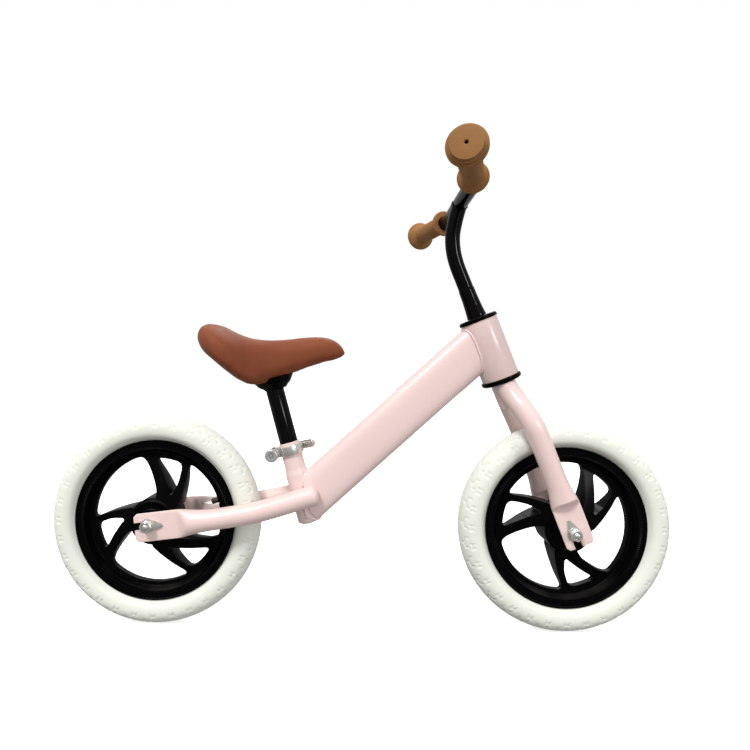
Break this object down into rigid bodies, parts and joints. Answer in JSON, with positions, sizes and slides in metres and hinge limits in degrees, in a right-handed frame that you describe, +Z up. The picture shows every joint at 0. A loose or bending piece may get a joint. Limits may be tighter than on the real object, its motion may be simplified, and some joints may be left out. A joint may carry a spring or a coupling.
{
  "type": "balance bike",
  "caption": "Child's balance bike with a wide sloping tube, moulded twin-spoke wheels, bent fork and bar, padded saddle and quick-release seat height.",
  "frame": {"origin": "on the ground, midway between the two axles, in the centre plane", "axes": "+X forward, +Y to the rider's left, +Z up"},
  "size_m": [0.855, 0.4078, 0.6157],
  "materials": {
    "frame_paint": "satin pale pink powder coat",
    "black_plastic": "gloss black moulding",
    "black_steel": "gloss black enamel on steel tube",
    "chrome": "bright zinc or chrome plate",
    "tyre_rubber": "matt off-white rubber",
    "tube_rubber": "black rubber",
    "grip_rubber": "satin tan rubber",
    "saddle_vinyl": "brown grained leather-look vinyl"
  },
  "bodies": {
    "frame": {"head_tube": "frame_paint", "down_tube": "frame_paint", "seat_tube": "frame_paint", "chainstay_right": "frame_paint", "chainstay_left": "frame_paint", "headset_upper_cup": "black_plastic", "headset_lower_cup": "black_plastic", "headset_upper_bearing": "chrome", "headset_lower_bearing": "chrome", "clamp_collar": "black_steel", "clamp_skewer": "chrome", "clamp_nut": "chrome", "clamp_cam_seat": "black_plastic", "clamp_cam_pin": "chrome", "rear_axle": "chrome", "rear_axle_spacer_right": "chrome", "rear_axle_spacer_left": "chrome", "rear_washer_right": "chrome", "rear_washer_left": "chrome", "rear_nut_right": "chrome", "rear_nut_left": "chrome"},
    "fork": {"steerer_tube": "frame_paint", "fork_blade_right": "frame_paint", "fork_blade_left": "frame_paint", "handlebar_stem": "black_steel", "crossbar": "black_steel", "grip_right": "grip_rubber", "grip_left": "grip_rubber", "stem_wedge": "chrome", "wedge_bolt": "chrome", "wedge_bolt_washer": "chrome", "front_axle": "chrome", "front_axle_spacer_right": "chrome", "front_axle_spacer_left": "chrome", "front_washer_right": "chrome", "front_washer_left": "chrome", "front_nut_right": "chrome", "front_nut_left": "chrome"},
    "front_wheel": {"front_tyre": "tyre_rubber", "front_inner_tube": "tube_rubber", "front_valve": "tube_rubber", "front_rim": "black_plastic", "front_bearing_right": "chrome", "front_bearing_left": "chrome"},
    "rear_wheel": {"rear_tyre": "tyre_rubber", "rear_inner_tube": "tube_rubber", "rear_valve": "tube_rubber", "rear_rim": "black_plastic", "rear_bearing_right": "chrome", "rear_bearing_left": "chrome"},
    "saddle": {"seatpost": "black_steel", "seatpost_plug": "black_plastic", "saddle_bracket": "black_plastic", "saddle_base": "black_plastic", "saddle_cover": "saddle_vinyl"},
    "clamp_lever": {"clamp_lever": "chrome"}
  },
  "joints": [
    {"name": "steering", "type": "hinge", "parent": "frame", "child": "fork", "pos_m": [0.1935, 0, 0.3492], "axis": [-0.3762, 0, 0.9265], "continuous": true},
    {"name": "front_wheel_spin", "type": "hinge", "parent": "fork", "child": "front_wheel", "pos_m": [0.2825, 0, 0.145], "axis": [0, 1, 0], "continuous": true},
    {"name": "rear_wheel_spin", "type": "hinge", "parent": "frame", "child": "rear_wheel", "pos_m": [-0.2825, 0, 0.145], "axis": [0, 1, 0], "continuous": true},
    {"name": "seatpost_slide", "type": "slide", "parent": "frame", "child": "saddle", "axis": [-0.274, 0, 0.9617], "range_m": [-0.041, 0.027]},
    {"name": "clamp_lever_turn", "type": "hinge", "parent": "frame", "child": "clamp_lever", "pos_m": [-0.12305, 0.018, 0.23659], "axis": [-0.274, 0, 0.9617], "range_deg": [0, 150]}
  ]
}
